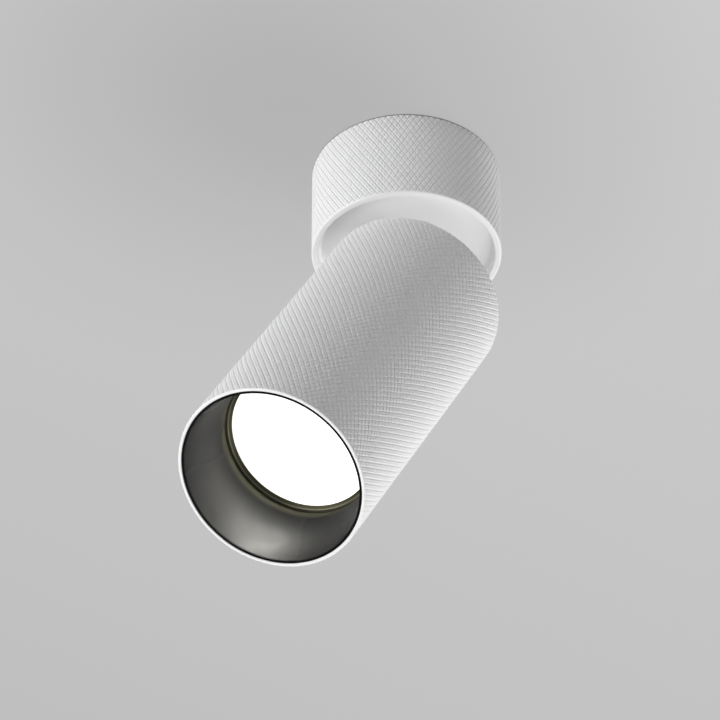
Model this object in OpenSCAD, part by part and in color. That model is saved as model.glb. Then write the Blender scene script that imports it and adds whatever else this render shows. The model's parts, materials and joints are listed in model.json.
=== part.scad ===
// Adjustable ceiling spotlight: a round base on the ceiling, a swivelling neck and a tilting tube head.
// Origin at the ceiling plane on the base's axis, +Z up. The head leans towards -Y and tilts about X.

/* [Base] */
// Outer diameter of the base, over the crests of its knurl
base_d = 60; // [59:1:70]
// Height of the base
base_h = 33; // [32:1:45]
// Thickness of the base's wall
base_wall = 2.1; // [1.6:0.1:2.4]
// Radius on the outer edge of the lower rim
rim_round = 0.6; // [0.3:0.1:0.9]
// Depth of the shadow groove at the ceiling, into the wall
shadow_in = 0.7; // [0.4:0.1:1]
// Height of the shadow groove
shadow_h = 0.5; // [0.3:0.1:1]
// Depth of the recess inside the lower rim
recess_depth = 3.5; // [3:0.1:5]
// Radius of the fillet round the recess's floor
fillet = 1.2; // [0.6:0.1:2]
// Thickness of the web that carries the swivel
web_t = 2.5; // [2:0.1:3.5]
// Inward reach of each bayonet lug
lug_reach = 2.5; // [1.8:0.1:2.8]
// Thickness of each bayonet lug
lug_t = 1.5; // [1:0.1:2]
// Arc of each bayonet lug, in degrees
lug_arc = 40; // [30:1:50]

/* [Mounting plate] */
// Diameter of the plate's flat middle
plate_d = 44; // [43:0.5:45]
// Thickness of the plate's steel
plate_t = 1.5; // [1:0.1:2]
// Distance between the ceiling screws
screw_spacing = 32; // [30:0.5:33]
// Width of the screw slots
slot_w = 4.5; // [4:0.1:5]
// Length of the screw slots, end to end
slot_len = 9; // [7:0.5:9]
// Arc of each ear, in degrees
ear_arc = 34; // [26:1:40]
// Diameter of the hole for the supply cable
cable_d = 8; // [6:0.5:9]
// Wall of the cable grommet
grommet_wall = 1; // [0.8:0.1:1.4]
// Flange of the cable grommet beyond its wall
grommet_lip = 1.5; // [1:0.1:2]

/* [Terminal block] */
// Length of the block, along its row of poles
block_len = 22; // [22:0.5:24]
// Width of the block, along the wires
block_w = 11; // [10:0.5:11.5]
// Height of the block's towers
block_h = 12; // [11:0.5:13]
// Height of the block's foot
foot_h = 4.6; // [4:0.1:5]
// Distance between the poles
pole_pitch = 5; // [4.8:0.1:5.2]
// Height of the wires above the web
wire_h = 7.5; // [7:0.1:8]
// Outer diameter of the brass wire tubes
tube_d = 3.6; // [3.2:0.1:4]
// Diameter of the clamp screws
clamp_d = 2.6; // [2.2:0.1:2.8]
// Diameter of the block's fixing screws
fix_d = 2.5; // [2:0.1:2.6]

/* [Swivel] */
// Thickness of the turntable disc
disc_t = 2; // [1.5:0.1:3]
// Diameter of the turntable disc
disc_d = 26; // [25:0.5:28]
// Radial gap between the disc and the base's floor
disc_gap = 0.3; // [0.2:0.05:0.4]
// Radius on the disc's lower edge
disc_round = 0.4; // [0.2:0.1:0.8]
// Diameter of the neck's journal and thread
journal_d = 12; // [11:0.5:12]
// Wall of the swivel bush
bush_wall = 1.8; // [1.2:0.1:2]
// Thickness of the bush's flange
bush_flange_t = 1; // [0.8:0.1:1.5]
// Outer diameter of the friction washer on the web
swivel_washer_d = 18; // [17:0.5:18]
// Thickness of the friction washer
swivel_washer_t = 0.8; // [0.5:0.1:1.2]
// Thickness of the stop washer
stop_washer_t = 1.2; // [1:0.1:1.6]
// Distance of the stop pin from the axis
stop_pin_at = 10.6; // [10.5:0.1:10.9]
// Diameter of the stop pin
stop_pin_d = 1.5; // [1:0.1:1.6]
// Width of the stop washer's tab
tab_w = 1.8; // [1.4:0.1:2]
// Nut, across its flats
nut_af = 17; // [16:0.5:17.5]
// Height of the nut
nut_h = 4; // [3:0.1:5]
// Diameter of the neck's flange under the disc
flange_d = 20; // [18:0.5:20]
// Thickness of the neck's flange
flange_t = 2; // [1.5:0.1:2.5]

/* [Knuckle] */
// Tilt of the head from straight down, as drawn
tilt_rest = 30; // [0:1:40]
// Largest tilt to each side
tilt_max = 45; // [42:1:48]
// Depth of the tilt axis inside the head's back face
pivot_inset = 3.3; // [3.1:0.1:3.6]
// Gap left between the head's back corner and the disc at full tilt
tilt_clear = 2; // [1.5:0.1:4]
// Diameter of the neck's stem
stem_d = 14; // [13:0.5:14.5]
// Width across the fork, along the tilt axis
fork_w = 14; // [13:0.5:15]
// Depth of the fork, which is also its eye's diameter
fork_deep = 9; // [8:0.5:9.5]
// Gap between the fork's ears
fork_gap = 8; // [7:0.5:8.5]
// Diameter of the hinge pins
hinge_pin_d = 4; // [3:0.5:4]
// Thickness of the friction washers beside the fork
side_washer_t = 0.3; // [0.2:0.1:0.6]
// Thickness of the rear cap's lugs
cap_lug_t = 3; // [2.5:0.1:4]
// Diameter of the eye on the rear cap's lugs
cap_eye_d = 10; // [9:0.5:11]

/* [Head] */
// Outer diameter of the head, over the crests of its knurl
head_d = 58; // [57:1:64]
// Length of the head
head_len = 120; // [116:1:160]
// Wall of the head's tube
head_wall = 1.5; // [1.3:0.1:1.6]
// Wall left at the lip, in front of the baffle's seat
lip_wall = 1; // [0.7:0.1:1.1]
// Radius on the lip's outer edge
lip_round = 0.35; // [0.2:0.05:0.4]
// Thickness of the rear cap's plate
cap_t = 3; // [2.5:0.1:3.1]
// Wall of the rear cap's skirt
skirt_wall = 1.5; // [1:0.1:2]
// Depth of the rear cap's skirt below its plate
skirt_h = 6.3; // [5:0.1:8]
// Diameter of the rear cap's bosses
boss_d = 7; // [6:0.5:7]
// Height of the rear cap's bosses
boss_h = 2; // [1.5:0.1:3]

/* [Baffle] */
// Depth of the lens inside the mouth
lens_depth = 25.8; // [22:0.1:30]
// Set-back of the baffle's front edge from the lip
baffle_set = 0.2; // [0.1:0.05:0.5]
// Wall of the baffle at its front edge
baffle_edge = 0.7; // [0.4:0.1:0.9]
// Distance of the cone's inner end inside the lamp's rim
cone_end_in = 1.2; // [0.9:0.1:1.5]
// Height of the shadow step behind the cone
step_h = 1.4; // [1:0.1:2]
// Depth of the shadow step behind the cone
step_in = 0.6; // [0.4:0.1:0.8]
// How far the ring in front of the lens covers its edge
ring_over = 1.2; // [0.8:0.1:1.4]
// Thickness of that ring
ring_t = 1; // [0.9:0.1:1.5]
// Width of the bevel on that ring
bevel_w = 1; // [0.6:0.1:1.2]
// Depth of the bevel on that ring
bevel_h = 0.6; // [0.3:0.1:0.7]
// Wall of the collar round the lamp
collar_wall = 1.15; // [1:0.05:1.2]
// Length of the collar
collar_len = 8.2; // [8:0.1:10]
// Thickness of the rib that seats on the tube's shoulder
rib_t = 1.2; // [1:0.1:2]
// Width of each leaf spring
leaf_w = 5; // [4:0.5:7]
// Length of each leaf spring
leaf_len = 13; // [11:0.5:16]
// Thickness of the leaf springs
leaf_t = 0.3; // [0.2:0.05:0.4]

/* [Lamp] */
// Radial room between the lamp's rim and the tube, which leaves the 50 mm of a standard reflector lamp
lamp_room = 2.5; // [2.3:0.1:2.8]
// Length of the lamp without its pins
lamp_len = 47; // [45:0.5:50]
// Height of the lamp's rim
lamp_rim_h = 6; // [5:0.1:6.1]
// Width of the lamp's rim round its lens
lens_edge = 1.4; // [1:0.1:1.6]
// Thickness of the lens
lens_t = 1.5; // [1:0.1:2.5]
// Diameter of the lamp's waist
waist_d = 30; // [28:0.5:34]
// Height of the lamp's waist
waist_h = 6; // [4:0.5:8]
// Diameter of the lamp's foot
lamp_foot_d = 26; // [24:0.5:27]
// Height of the lamp's foot
lamp_foot_h = 9; // [8:0.5:11]
// Distance between the lamp's two pins
pin_pitch = 10; // [9.5:0.5:10.5]
// Diameter of the pins' necks
pin_neck_d = 3.1; // [2.8:0.1:3.3]
// Diameter of the pins' heads
pin_head_d = 4.9; // [4.5:0.1:5]
// Length of the pins
pin_len = 7; // [6:0.5:7.5]
// Thickness of the wire clip
clip_wire_d = 0.9; // [0.6:0.1:1]

/* [Lampholder] */
// Height of the lampholder
holder_h = 18; // [16:0.5:19]
// Diameter of the lampholder's skirt
holder_d = 29; // [28:0.5:31]
// Height of the lampholder's skirt
holder_skirt_h = 9; // [8:0.5:10]
// Width of the lampholder's back
holder_w = 19; // [18:0.5:20]
// Length of the lampholder's back
holder_l = 25; // [24:0.5:26]
// Width of the bracket's strip
strip_w = 12; // [11:0.5:14]
// Thickness of the bracket's steel
strip_t = 1.2; // [1:0.1:1.5]
// Distance between the bracket's legs, outside to outside
strip_span = 30; // [28:0.5:34]
// Gap between each leg and the head of its bracket screw
leg_gap = 0.3; // [0.2:0.1:0.6]
// Diameter of the bracket screws and the lampholder screws
m3_d = 3; // [2.5:0.5:3]
// Distance of each lampholder screw from the axis
holder_screw_at = 9; // [8.5:0.5:9.5]

/* [Leads] */
// Outer diameter of the sleeve round the leads
sleeve_d = 4.5; // [4.2:0.1:4.6]
// Bore of the sleeve
sleeve_bore = 3.6; // [3.5:0.1:3.8]
// Diameter of one lead
lead_d = 1.7; // [1.4:0.1:1.7]
// Length of the leads between the sleeve and the lampholder bracket
lead_free = 11; // [9:0.5:12]
// Length of lead inside a sleeve, tube or contact
lead_in = 3; // [2:0.5:4]
// Run of a base lead before it bends
lead_bend = 3; // [2.5:0.1:3.5]

/* [Hidden] */
$fn = 72;

// Colours
painted = "#eeefef";
steel = "#b9bdc1";
brass = "#c9a24a";
black = "#2b2b2c";
nylon = "#e6e2d4";
ceramic = "#f2efe6";
brown = "#6b3f22";
blue = "#2d5fa8";
earth_green = "#5fa63a";
lit = "#fffdf5";

// Clearances: a running fit, a push fit, a sliding face and the overlap that joins two shapes
run_fit = 0.05;
push_fit = 0.02;
face_gap = 0.1;
join = 0.5;
cut = 1;

// Base, with depths below the ceiling
base_r = base_d / 2;
base_in_r = base_r - base_wall;
floor_z = base_h - recess_depth;
disc_top = floor_z - disc_t;
bush_low = disc_top - face_gap;
web_low = bush_low - bush_flange_t;
web_top = web_low - web_t;
washer_top = web_top - swivel_washer_t;
stop_low = washer_top - face_gap;
stop_top = stop_low - stop_washer_t;
nut_top = stop_top - nut_h;
spigot_proud = 1;
spigot_top = nut_top - spigot_proud;
sleeve_proud = 1.5;
sleeve_top = spigot_top - sleeve_proud;
journal_r = journal_d / 2;
bush_r = journal_r + run_fit + bush_wall;
bush_flange_r = bush_r + 2;
disc_r = disc_d / 2;
pocket_r = disc_r + disc_gap;

// Bayonet: the cup's lugs lie on the plate's ears
ear_gap = 0.5;
ear_top = plate_t + 0.5 + lug_t;
ear_r = base_in_r - ear_gap;
plate_r = plate_d / 2;

// Stop: the tab ends just past the pin
tab_reach = stop_pin_at + 1;
stop_ring_r = stop_pin_at - stop_pin_d / 2 - 0.6;
key_w = 2;
key_in = 0.8;

// Terminal block, beside the tab's sweep
block_x = tab_reach + 0.9;
wire_z = -web_top + wire_h;
block_mid = block_x + block_w / 2;
clamp_at = block_w / 4;
tower_w = tube_d + 0.8;
fix_head_r = fix_d * 0.72;
fix_y = pole_pitch + tower_w / 2 + fix_head_r + face_gap;
pole_list = [-pole_pitch, 0, pole_pitch];
lead_r = lead_d / 2;
tube_r = tube_d / 2;

// Earth screw, so far out that its lead clears the block and the tab's sweep
earth_at = [tab_reach - 1.6, 17];
earth_head_r = 3.2;
earth_head_h = 2.2;
earth_shank_r = 1.8;
tag_t = 0.8;
tag_r = 3.8;
barrel_r = lead_r + 0.5;

// Knuckle: the pivot lies so low that the head's back corner clears the disc at full tilt
head_r = head_d / 2;
corner_up = pivot_inset * cos(tilt_max) + head_r * sin(tilt_max);
pivot_z = floor_z + corner_up + tilt_clear;
stem_r = stem_d / 2;
stem_up = (pivot_inset + 0.6 + stem_r * sin(tilt_max)) / cos(tilt_max);
fork_r = sqrt(pow(fork_w / 2, 2) + pow(fork_deep / 2, 2)) - 0.3;
eye_r = fork_deep / 2;
hinge_r = hinge_pin_d / 2;
lug_face = fork_w / 2 + side_washer_t + face_gap;
slot_half = pivot_inset * tan(tilt_max) + eye_r / cos(tilt_max) + 0.4;
sleeve_r = sleeve_d / 2;
ball_cup_r = sleeve_r * 1.15;

// Head, with heights from the tilt axis
back_z = pivot_inset;
mouth_z = back_z - head_len;
tube_in_r = head_r - head_wall;
lip_in_r = head_r - lip_wall;
plate_low = back_z - cap_t;
boss_low = plate_low - boss_h;
lens_z = mouth_z + lens_depth;
lamp_top = lens_z + lamp_len;
strip_low = lamp_top + holder_h;
seat_depth = lens_depth + rib_t;
lamp_r = tube_in_r - lamp_room;
lens_r = lamp_r - lens_edge;
ring_r = lens_r - ring_over;
cone_end_r = lamp_r - cone_end_in;
collar_in_r = lamp_r + run_fit;
collar_r = collar_in_r + collar_wall;
screw_head_r = m3_d * 0.9;
screw_head_h = m3_d * 0.7;
screw_hole_r = m3_d / 2 + 0.1;
boss_at = strip_span / 2 + leg_gap + screw_head_r;
lead_at = pin_pitch / 2 - 1.5;
pin_in = 3;

// Points on an arc about c
function arc(c, r, a0, a1, n = 5) = [
    for (i = [0:n]) let (a = a0 + (a1 - a0) * i / n) c + r * [cos(a), sin(a)]
];

// Point t of the way from p[i] to p[i + 1] on a smooth curve through the list p
function clamp_i(p, i) = p[max(0, min(len(p) - 1, i))];
function spline_at(p, i, t) =
    let (a = clamp_i(p, i - 1), b = clamp_i(p, i), c = clamp_i(p, i + 1), d = clamp_i(p, i + 2))
    0.5 * (2 * b + (c - a) * t + (2 * a - 5 * b + 4 * c - d) * t * t + (3 * b - a - 3 * c + d) * t * t * t);
function spline(p, steps) = [
    for (i = [0:len(p) - 2]) for (s = [0:steps - 1]) spline_at(p, i, s / steps),
    p[len(p) - 1]
];
function unit(v) = v / norm(v);

// Round tube of radius r through the points p, with its rings across the path. The path never runs along side.
module lead_tube(p, r, side, sides = 8) {
    n = len(p);
    rings = [
        for (i = [0:n - 1])
            let (along = unit(p[min(n - 1, i + 1)] - p[max(0, i - 1)]))
            let (u = unit(cross(along, side)))
            let (v = cross(along, u))
            for (k = [0:sides - 1]) p[i] + r * (cos(360 * k / sides) * u + sin(360 * k / sides) * v)
    ];
    skin = [
        for (i = [0:n - 2]) for (k = [0:sides - 1])
            let (a = i * sides + k, b = i * sides + (k + 1) % sides)
            each [[a, b, b + sides], [a, b + sides, a + sides]]
    ];
    first = [for (k = [1:sides - 2]) [0, k + 1, k]];
    last = [for (k = [1:sides - 2]) (n - 1) * sides * [1, 1, 1] + [0, k, k + 1]];
    polyhedron(points = rings, faces = [for (f = concat(skin, first, last)) [f[0], f[2], f[1]]]);
}

// Ring between two radii, standing on z = 0
module ring(r_out, r_in, h) {
    difference() {
        cylinder(r = r_out, h = h);
        translate([0, 0, -cut]) cylinder(r = r_in, h = h + 2 * cut);
    }
}

// Slotted hole along X
module slot(length, width, h) {
    translate([-(length - width) / 2, 0, 0]) cylinder(d = width, h = h);
    translate([(length - width) / 2, 0, 0]) cylinder(d = width, h = h);
    translate([-(length - width) / 2, -width / 2, 0]) cube([length - width, width, h]);
}

// Pan-head screw whose head stands on z = 0 and whose shank goes down
module screw(head_r, head_h, shank_r, shank_len, slot_deep = 0.6) {
    edge = 0.5;
    difference() {
        union() {
            rotate_extrude() polygon([
                [0, 0], [head_r, 0], each arc([head_r - edge, head_h - edge], edge, 0, 90, 3), [0, head_h]
            ]);
            translate([0, 0, -shank_len]) cylinder(r = shank_r, h = shank_len + head_h / 2);
        }
        translate([-head_r - cut, -0.3, head_h - slot_deep]) cube([2 * (head_r + cut), 0.6, slot_deep + cut]);
    }
}

// Places children in the head's own frame, whose origin is on the tilt axis
module in_head() {
    translate([0, 0, -pivot_z]) rotate([-tilt_rest, 0, 0]) children();
}

module base_cup() color(painted) {
    rim = [
        [base_in_r, 0], [base_r - shadow_in, 0], [base_r - shadow_in, -shadow_h], [base_r, -shadow_h],
        each arc([base_r - rim_round, -base_h + rim_round], rim_round, 0, -90),
        [base_in_r, -base_h], each arc([base_in_r - fillet, -floor_z - fillet], fillet, 0, 90),
        [pocket_r, -floor_z], [pocket_r, -web_low], [bush_r + push_fit, -web_low],
        [bush_r + push_fit, -web_top], [base_in_r, -web_top]
    ];
    lug = [
        [base_in_r - lug_reach, -ear_top], [base_in_r + join, -ear_top],
        [base_in_r + join, -ear_top + lug_t], [base_in_r - lug_reach, -ear_top + lug_t]
    ];
    difference() {
        union() {
            rotate_extrude() polygon(rim);
            for (a = [90, 270]) rotate([0, 0, a - lug_arc / 2]) rotate_extrude(angle = lug_arc) polygon(lug);
        }
        translate([0, -stop_pin_at, -web_low - cut])
            cylinder(d = stop_pin_d + 2 * push_fit, h = web_t + 2 * cut);
        for (s = [-1, 1]) translate([block_mid, s * fix_y, -web_low])
            cylinder(d = fix_d + 2 * push_fit, h = web_t + cut);
        translate([earth_at[0], earth_at[1], -web_low])
            cylinder(r = earth_shank_r + push_fit, h = web_t + cut);
    }
}

module mounting_plate() color(steel) {
    ear = [
        [plate_r - plate_t, 0], [plate_r, 0], [plate_r, -ear_top], [ear_r, -ear_top],
        [ear_r, -ear_top - plate_t], [plate_r - plate_t, -ear_top - plate_t]
    ];
    difference() {
        union() {
            translate([0, 0, -plate_t]) cylinder(r = plate_r, h = plate_t);
            for (a = [90, 270]) rotate([0, 0, a - ear_arc / 2]) rotate_extrude(angle = ear_arc) polygon(ear);
        }
        translate([0, 0, -plate_t - cut]) cylinder(r = cable_d / 2 + grommet_wall, h = plate_t + 2 * cut);
        for (s = [-1, 1]) translate([s * screw_spacing / 2, 0, -plate_t - cut])
            slot(slot_len, slot_w, plate_t + 2 * cut);
    }
}

module cable_grommet() color(black) {
    hole_r = cable_d / 2;
    rotate_extrude() polygon([
        [hole_r, 0], [hole_r + grommet_wall, 0], [hole_r + grommet_wall, -plate_t],
        [hole_r + grommet_wall + grommet_lip, -plate_t], [hole_r + grommet_wall + grommet_lip, -plate_t - 0.7],
        [hole_r + grommet_wall, -plate_t - 1.5], [hole_r, -plate_t - 1.5]
    ]);
}

module terminal_block() color(nylon) {
    difference() {
        translate([block_x, 0, -web_top]) union() {
            translate([0, -block_len / 2, 0]) cube([block_w, block_len, foot_h]);
            for (y = pole_list) translate([0, y - tower_w / 2, 0]) cube([block_w, tower_w, block_h]);
        }
        for (y = pole_list) {
            translate([block_x - cut, y, wire_z]) rotate([0, 90, 0])
                cylinder(r = tube_r + push_fit, h = block_w + 2 * cut);
            for (s = [-1, 1]) translate([block_mid + s * clamp_at, y, wire_z])
                cylinder(r = clamp_d / 2 + 0.1, h = block_h);
        }
        for (s = [-1, 1]) translate([block_mid, s * fix_y, -web_top - cut])
            cylinder(d = fix_d + 2 * push_fit, h = block_h);
    }
}

module terminal_sleeves() color(brass) {
    tube_set = 1;
    for (y = pole_list) difference() {
        translate([block_x + tube_set, y, wire_z]) rotate([0, 90, 0]) difference() {
            cylinder(r = tube_r, h = block_w - 2 * tube_set);
            translate([0, 0, -cut]) cylinder(r = lead_r + run_fit, h = block_w);
        }
        for (s = [-1, 1]) translate([block_mid + s * clamp_at, y, wire_z])
            cylinder(r = clamp_d / 4 + 0.1, h = tube_d);
    }
}

module terminal_screws() color(steel) {
    top = block_h - wire_h - 1;
    for (y = pole_list) for (s = [-1, 1]) translate([block_mid + s * clamp_at, y, wire_z]) difference() {
        union() {
            translate([0, 0, tube_r + run_fit]) cylinder(r = clamp_d / 2, h = top - tube_r);
            translate([0, 0, lead_r + run_fit]) cylinder(r = clamp_d / 4, h = tube_r);
        }
        translate([-clamp_d, -0.25, top - 0.5]) cube([2 * clamp_d, 0.5, 1]);
    }
}

module block_screws() color(steel) {
    for (s = [-1, 1]) translate([block_mid, s * fix_y, -web_top + foot_h])
        screw(fix_head_r, fix_d * 0.7, fix_d / 2, foot_h + web_t);
}

module earth_screw() color(brass) {
    translate([earth_at[0], earth_at[1], -web_top + tag_t])
        screw(earth_head_r, earth_head_h, earth_shank_r, tag_t + web_t);
}

module earth_tag() color(steel) {
    translate([earth_at[0], earth_at[1], -web_top]) difference() {
        union() {
            cylinder(r = tag_r, h = tag_t);
            translate([-barrel_r, -tag_r - 1, 0]) cube([2 * barrel_r, 2, tag_t]);
            translate([0, -tag_r, barrel_r]) rotate([90, 0, 0]) cylinder(r = barrel_r, h = lead_in);
        }
        translate([0, 0, -cut]) cylinder(r = earth_shank_r + push_fit, h = tag_t + 2 * cut);
        translate([0, -tag_r - 0.4, barrel_r]) rotate([90, 0, 0])
            cylinder(r = lead_r + push_fit, h = lead_in + cut);
    }
}

// Leads of the base: two from the block over the nut into the sleeve, and one from the block to the earth tag
sleeve_lane = lead_r + push_fit;
arch_z = -sleeve_top + 1.2 * lead_bend;
live_route = [
    [block_x + lead_in, -pole_pitch, wire_z], [block_x, -pole_pitch, wire_z],
    [block_x - lead_bend, -pole_pitch + 0.4, wire_z + lead_bend / 3],
    [block_x * 0.48, -pole_pitch * 0.6, arch_z - 0.3], [3 * lead_r, -1.8 * lead_r, arch_z - 0.6],
    [0, -sleeve_lane, -sleeve_top + 0.6], [0, -sleeve_lane, -sleeve_top - lead_in]
];
neutral_route = [
    [block_x + lead_in, 0, wire_z], [block_x, 0, wire_z], [block_x - lead_bend, 0.6, wire_z + lead_bend / 3],
    [block_x * 0.48, pole_pitch * 0.32, arch_z - 0.3], [3 * lead_r, 1.5 * lead_r, arch_z - 0.6],
    [0, sleeve_lane, -sleeve_top + 0.6], [0, sleeve_lane, -sleeve_top - lead_in]
];
earth_route = [
    [block_x + lead_in, pole_pitch, wire_z], [block_x, pole_pitch, wire_z],
    [block_x - 0.7 * lead_bend, pole_pitch + 0.6, wire_z - 0.6],
    [earth_at[0], pole_pitch + lead_bend, wire_z - 1.2 * lead_bend],
    [earth_at[0], earth_at[1] - tag_r - lead_in - 1, -web_top + barrel_r],
    [earth_at[0], earth_at[1] - tag_r - lead_in, -web_top + barrel_r],
    [earth_at[0], earth_at[1] - tag_r - 0.6, -web_top + barrel_r]
];

module live_lead() color(brown) lead_tube(spline(live_route, 4), lead_r - 0.02, [0, 1, 0]);

module neutral_lead() color(blue) lead_tube(spline(neutral_route, 4), lead_r - 0.02, [0, 1, 0]);

module earth_lead() color(earth_green) lead_tube(spline(earth_route, 4), lead_r - 0.02, [0.4, 0, 1]);

module swivel_bush() color(nylon) {
    translate([0, 0, -bush_low]) ring(bush_flange_r, journal_r + run_fit, bush_flange_t);
    translate([0, 0, -web_low]) ring(bush_r, journal_r + run_fit, web_t);
}

module stop_pin() color(steel) {
    translate([0, -stop_pin_at, -web_low]) cylinder(d = stop_pin_d, h = web_low - stop_top - face_gap);
}

module swivel_washer() color(steel) {
    translate([0, 0, -web_top]) ring(swivel_washer_d / 2, journal_r + 0.15, swivel_washer_t);
}

module turntable_disc() color(painted) {
    translate([0, 0, -floor_z]) rotate_extrude() polygon(concat(
        [[journal_r + push_fit, 0]], arc([disc_r - disc_round, disc_round], disc_round, -90, 0),
        [[disc_r, disc_t], [journal_r + push_fit, disc_t]]
    ));
}

module neck() color(painted) {
    stem_end = pivot_z - stem_up;
    chamfer = 0.5;
    turned = [
        [0, -spigot_top], [journal_r - chamfer, -spigot_top], [journal_r, -spigot_top - chamfer],
        [journal_r, -floor_z], [flange_d / 2, -floor_z],
        each arc([flange_d / 2 - 1, -floor_z - flange_t + 1], 1, 0, -90, 4),
        each arc([stem_r + 1, -floor_z - flange_t - 1], 1, 90, 180, 4),
        [stem_r, -stem_end], [fork_r, -stem_end - chamfer], [fork_r, -pivot_z - eye_r], [0, -pivot_z - eye_r]
    ];
    difference() {
        intersection() {
            rotate_extrude() polygon(turned);
            union() {
                translate([0, 0, -stem_end]) cylinder(r = flange_d, h = stem_end);
                translate([-fork_w / 2, -eye_r, -pivot_z]) cube([fork_w, fork_deep, stem_up]);
                translate([-fork_w / 2, 0, -pivot_z]) rotate([0, 90, 0]) cylinder(r = eye_r, h = fork_w);
            }
        }
        translate([0, 0, -pivot_z]) cylinder(r = sleeve_r + run_fit, h = pivot_z);
        translate([-fork_gap / 2, -fork_deep, -pivot_z - fork_deep])
            cube([fork_gap, 2 * fork_deep, fork_deep + fork_gap / 2]);
        translate([0, fork_deep, -pivot_z + fork_gap / 2]) rotate([90, 0, 0])
            cylinder(r = fork_gap / 2, h = 2 * fork_deep);
        translate([-fork_w, 0, -pivot_z]) rotate([0, 90, 0]) cylinder(r = hinge_r + run_fit, h = 2 * fork_w);
        translate([-key_w / 2, journal_r - key_in, -stop_low]) cube([key_w, journal_r, stop_low]);
    }
}

module stop_washer() color(steel) {
    translate([0, 0, -stop_low]) {
        ring(stop_ring_r, journal_r + push_fit, stop_washer_t);
        translate([-key_w / 2 + push_fit, journal_r - key_in + push_fit, 0])
            cube([key_w - 2 * push_fit, stop_ring_r - journal_r, stop_washer_t]);
        translate([-tab_w / 2, stop_ring_r - join, 0])
            cube([tab_w, tab_reach - stop_ring_r + join, stop_washer_t]);
    }
}

module neck_nut() color(brass) {
    corner_r = nut_af / sqrt(3);
    bevel = 0.6;
    translate([0, 0, -stop_top]) difference() {
        intersection() {
            cylinder(r = corner_r, h = nut_h, $fn = 6);
            rotate_extrude() polygon([
                [0, 0], [corner_r, 0], [corner_r, nut_h - bevel], [nut_af / 2, nut_h], [0, nut_h]
            ]);
        }
        translate([0, 0, -cut]) cylinder(r = journal_r + push_fit, h = nut_h + 2 * cut);
    }
}

// The sleeve's lower end is round about the tilt axis, so that the head's half can turn on it
module neck_sleeve() color(ceramic) {
    difference() {
        union() {
            translate([0, 0, -pivot_z]) cylinder(r = sleeve_r, h = pivot_z - sleeve_top);
            translate([0, 0, -pivot_z]) sphere(r = sleeve_r);
        }
        translate([0, 0, -pivot_z]) cylinder(d = sleeve_bore, h = pivot_z);
    }
}

module head_tube() color(painted) in_head() {
    rotate_extrude() polygon([
        [tube_in_r, back_z], [head_r, back_z],
        each arc([head_r - lip_round, mouth_z + lip_round], lip_round, 0, -90),
        [lip_in_r, mouth_z], [lip_in_r, mouth_z + seat_depth], [tube_in_r, mouth_z + seat_depth]
    ]);
}

module rear_cap() color(painted) in_head() {
    cap_r = tube_in_r - push_fit;
    corner = 2;
    through = 2 * cap_eye_d;
    slot_in = slot_half - corner;
    face_in = lug_face - corner;
    difference() {
        union() {
            rotate_extrude() polygon([
                [0, plate_low], [cap_r - skirt_wall, plate_low], [cap_r - skirt_wall, plate_low - skirt_h],
                [cap_r, plate_low - skirt_h], [cap_r, back_z], [0, back_z]
            ]);
            for (s = [-1, 1]) scale([s, 1, 1]) translate([lug_face, 0, 0]) {
                rotate([0, 90, 0]) cylinder(d = cap_eye_d, h = cap_lug_t);
                translate([0, -cap_eye_d / 2, 0]) cube([cap_lug_t, cap_eye_d, back_z - cap_t / 2]);
            }
            for (s = [-1, 1]) translate([0, s * boss_at, boss_low]) cylinder(d = boss_d, h = boss_h + join);
        }
        translate([-head_r, -head_r, back_z]) cube([head_d, head_d, cap_eye_d]);
        for (x = [-1, 1]) for (y = [-1, 1])
            translate([x * face_in, y * slot_in, -cap_eye_d]) cylinder(r = corner, h = through);
        translate([-lug_face, -slot_in, -cap_eye_d]) cube([2 * lug_face, 2 * slot_in, through]);
        translate([-face_in, -slot_half, -cap_eye_d]) cube([2 * face_in, 2 * slot_half, through]);
        translate([-head_r, 0, 0]) rotate([0, 90, 0]) cylinder(r = hinge_r + push_fit, h = head_d);
        for (s = [-1, 1]) translate([0, s * boss_at, boss_low - cut])
            cylinder(r = m3_d / 2 + push_fit, h = cut + boss_h + cap_t - 1);
    }
}

module hinge_pins() color(steel) in_head() {
    for (s = [-1, 1]) translate([s * fork_gap / 2, 0, 0]) rotate([0, s * 90, 0])
        cylinder(r = hinge_r, h = lug_face + cap_lug_t - fork_gap / 2);
}

module friction_washers() color(nylon) in_head() {
    for (s = [-1, 1]) translate([s * lug_face, 0, 0]) rotate([0, -s * 90, 0])
        ring(eye_r - 0.3, hinge_r + run_fit, side_washer_t);
}

// Steel strip bent to a U: feet on the rear cap's bosses, legs down, and a web that carries the lampholder
module lampholder_bracket() color(steel) in_head() {
    leg = strip_span / 2;
    foot_end = boss_at + boss_d / 2 - 0.5;
    through = strip_t + 2 * cut;
    half = [
        [0, strip_low], [leg, strip_low], [leg, boss_low - strip_t], [foot_end, boss_low - strip_t],
        [foot_end, boss_low], [leg - strip_t, boss_low], [leg - strip_t, strip_low + strip_t],
        [0, strip_low + strip_t]
    ];
    difference() {
        for (m = [0, 1]) mirror([0, m, 0]) rotate([90, 0, 90]) translate([0, 0, -strip_w / 2])
            linear_extrude(strip_w) polygon(half);
        translate([0, 0, strip_low - cut]) cylinder(r = sleeve_r + 2.5, h = through);
        for (s = [-1, 1]) {
            translate([0, s * boss_at, boss_low - strip_t - cut]) cylinder(r = screw_hole_r, h = through);
            translate([0, s * holder_screw_at, strip_low - cut]) cylinder(r = screw_hole_r, h = through);
        }
    }
}

module bracket_screws() color(steel) in_head() {
    for (s = [-1, 1]) translate([0, s * boss_at, boss_low - strip_t]) rotate([180, 0, 0])
        screw(screw_head_r, screw_head_h, m3_d / 2, strip_t + boss_h + cap_t - 1.2);
}

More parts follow.
